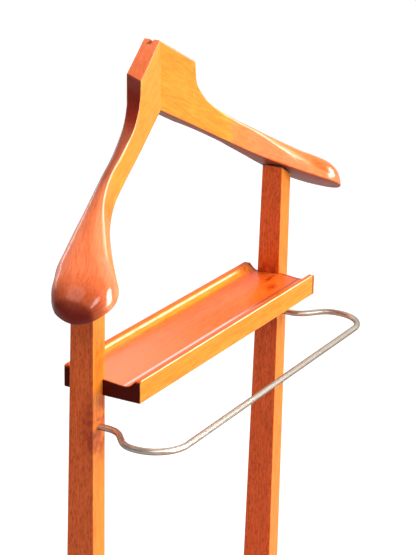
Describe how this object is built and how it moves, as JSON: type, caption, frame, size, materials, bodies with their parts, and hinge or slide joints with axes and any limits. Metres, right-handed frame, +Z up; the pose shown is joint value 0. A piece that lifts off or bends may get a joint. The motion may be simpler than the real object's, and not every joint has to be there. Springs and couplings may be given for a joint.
{
  "type": "clothes valet chair",
  "caption": "beech chair whose tall back posts carry a carved suit hanger, a lipped coin tray and a bent metal trouser rod",
  "frame": {"origin": "floor under the middle of the whole chair's box", "axes": "+Z up, -Y the front, to which the tray, the rod and the seat reach, +X the chair's right as seen from the front; the chair is symmetric in X"},
  "size_m": [0.487, 0.4238, 1.1346],
  "materials": {
    "hanger_beech": "glossy orange-brown lacquer over steamed beech",
    "post_beech": "satin red-brown lacquer over quarter-sawn beech with short dark flecks",
    "tray_beech": "glossy orange lacquer over beech",
    "seat_beech": "glossy orange-brown lacquer over an edge-glued beech panel",
    "frame_beech": "satin red-brown lacquer over beech",
    "dark_wood": "dark hardwood tongue, lacquered over",
    "dowel_wood": "plain turned beech, unfinished",
    "nickel_rod": "satin nickel plating",
    "zinc_steel": "bright zinc plating",
    "nylon_glide": "moulded brown nylon, matt"
  },
  "bodies": {
    "root": {"hanger_left": "hanger_beech", "hanger_right": "hanger_beech", "hanger_tongue": "dark_wood", "hanger_dowels": "dowel_wood", "left_post": "post_beech", "right_post": "post_beech", "tray": "tray_beech", "tray_dowels": "dowel_wood", "trouser_rod": "nickel_rod", "seat_panel": "seat_beech", "front_rail": "frame_beech", "back_rail": "frame_beech", "left_side_rail": "frame_beech", "right_side_rail": "frame_beech", "left_front_leg": "post_beech", "right_front_leg": "post_beech", "left_stretcher": "frame_beech", "right_stretcher": "frame_beech", "cross_stretcher": "frame_beech", "rail_dowels": "dowel_wood", "stretcher_dowels": "dowel_wood", "front_left_block": "frame_beech", "front_right_block": "frame_beech", "rear_left_block": "frame_beech", "rear_right_block": "frame_beech", "block_screws": "zinc_steel", "seat_screws": "zinc_steel", "front_left_glide": "nylon_glide", "front_right_glide": "nylon_glide", "rear_left_glide": "nylon_glide", "rear_right_glide": "nylon_glide", "glide_nails": "zinc_steel"}
  },
  "joints": []
}
